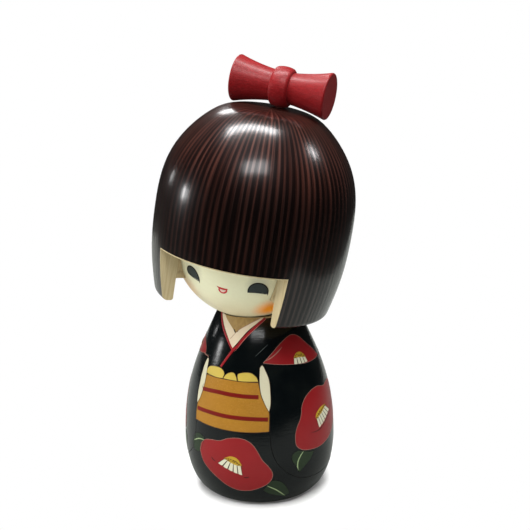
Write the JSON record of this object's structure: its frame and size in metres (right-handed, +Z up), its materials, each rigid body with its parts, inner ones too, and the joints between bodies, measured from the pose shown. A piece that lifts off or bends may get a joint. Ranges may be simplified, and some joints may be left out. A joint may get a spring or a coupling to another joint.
{
  "type": "kokeshi doll",
  "caption": "Turned wooden doll with a leaning bobbed head that turns on a neck dowel, a bow on the crown and a painted kimono body with a flat base.",
  "frame": {"origin": "centre of the flat base, on the surface that the doll stands on", "axes": "+Z up along the turned body's axis; the kimono front faces -Y; the doll's own left is +X"},
  "size_m": [0.0676, 0.067, 0.1484],
  "materials": {
    "kimono_lacquer": "satin black lacquer with painted obi, collar and camellias",
    "bare_wood": "bare sanded wood",
    "face_paint": "ivory cream paint, satin",
    "hair_lacquer": "gloss lacquer over fine red-brown streaks",
    "bow_stain": "semi-gloss crimson stain"
  },
  "bodies": {
    "body": {"kimono_body": "kimono_lacquer", "neck_dowel": "bare_wood"},
    "head": {"face_ball": "face_paint", "face_seat_ring": "bare_wood", "hair_cap": "hair_lacquer", "hair_bow": "bow_stain", "bow_peg": "bare_wood"}
  },
  "joints": [
    {"name": "head_turn", "type": "hinge", "parent": "body", "child": "head", "pos_m": [-0.00171, -0.00128, 0.08773], "axis": [0.1392, 0.1038, 0.9848], "continuous": true}
  ]
}
